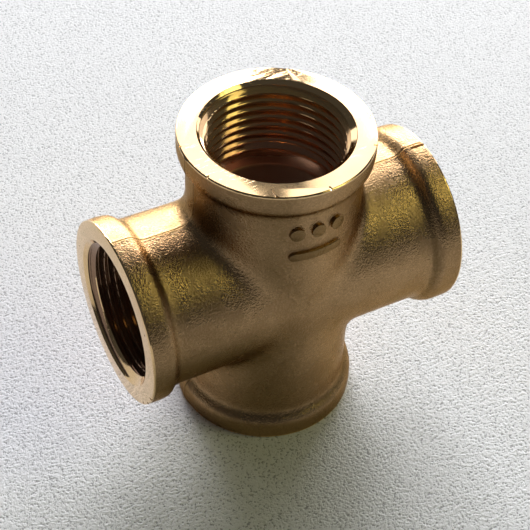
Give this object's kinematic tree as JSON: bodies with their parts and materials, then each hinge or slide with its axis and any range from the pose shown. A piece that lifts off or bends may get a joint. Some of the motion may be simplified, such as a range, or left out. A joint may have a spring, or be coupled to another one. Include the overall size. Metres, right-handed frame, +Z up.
{
  "type": "pipe cross fitting",
  "caption": "Equal brass cross that joins pipes at right angles, with a reinforced female threaded port on each arm.",
  "frame": {"origin": "where the axes of the two runs cross, at the middle of the body", "axes": "+Z up along the upright run, +X along the level run, and +Y through the body from the side with the raised mark to the plain side"},
  "size_m": [0.062, 0.0342, 0.062],
  "materials": {
    "brass": "forged and shot-blasted outside, turned at the port faces and threads"
  },
  "bodies": {
    "root": {"cross_body": "brass"}
  },
  "joints": []
}
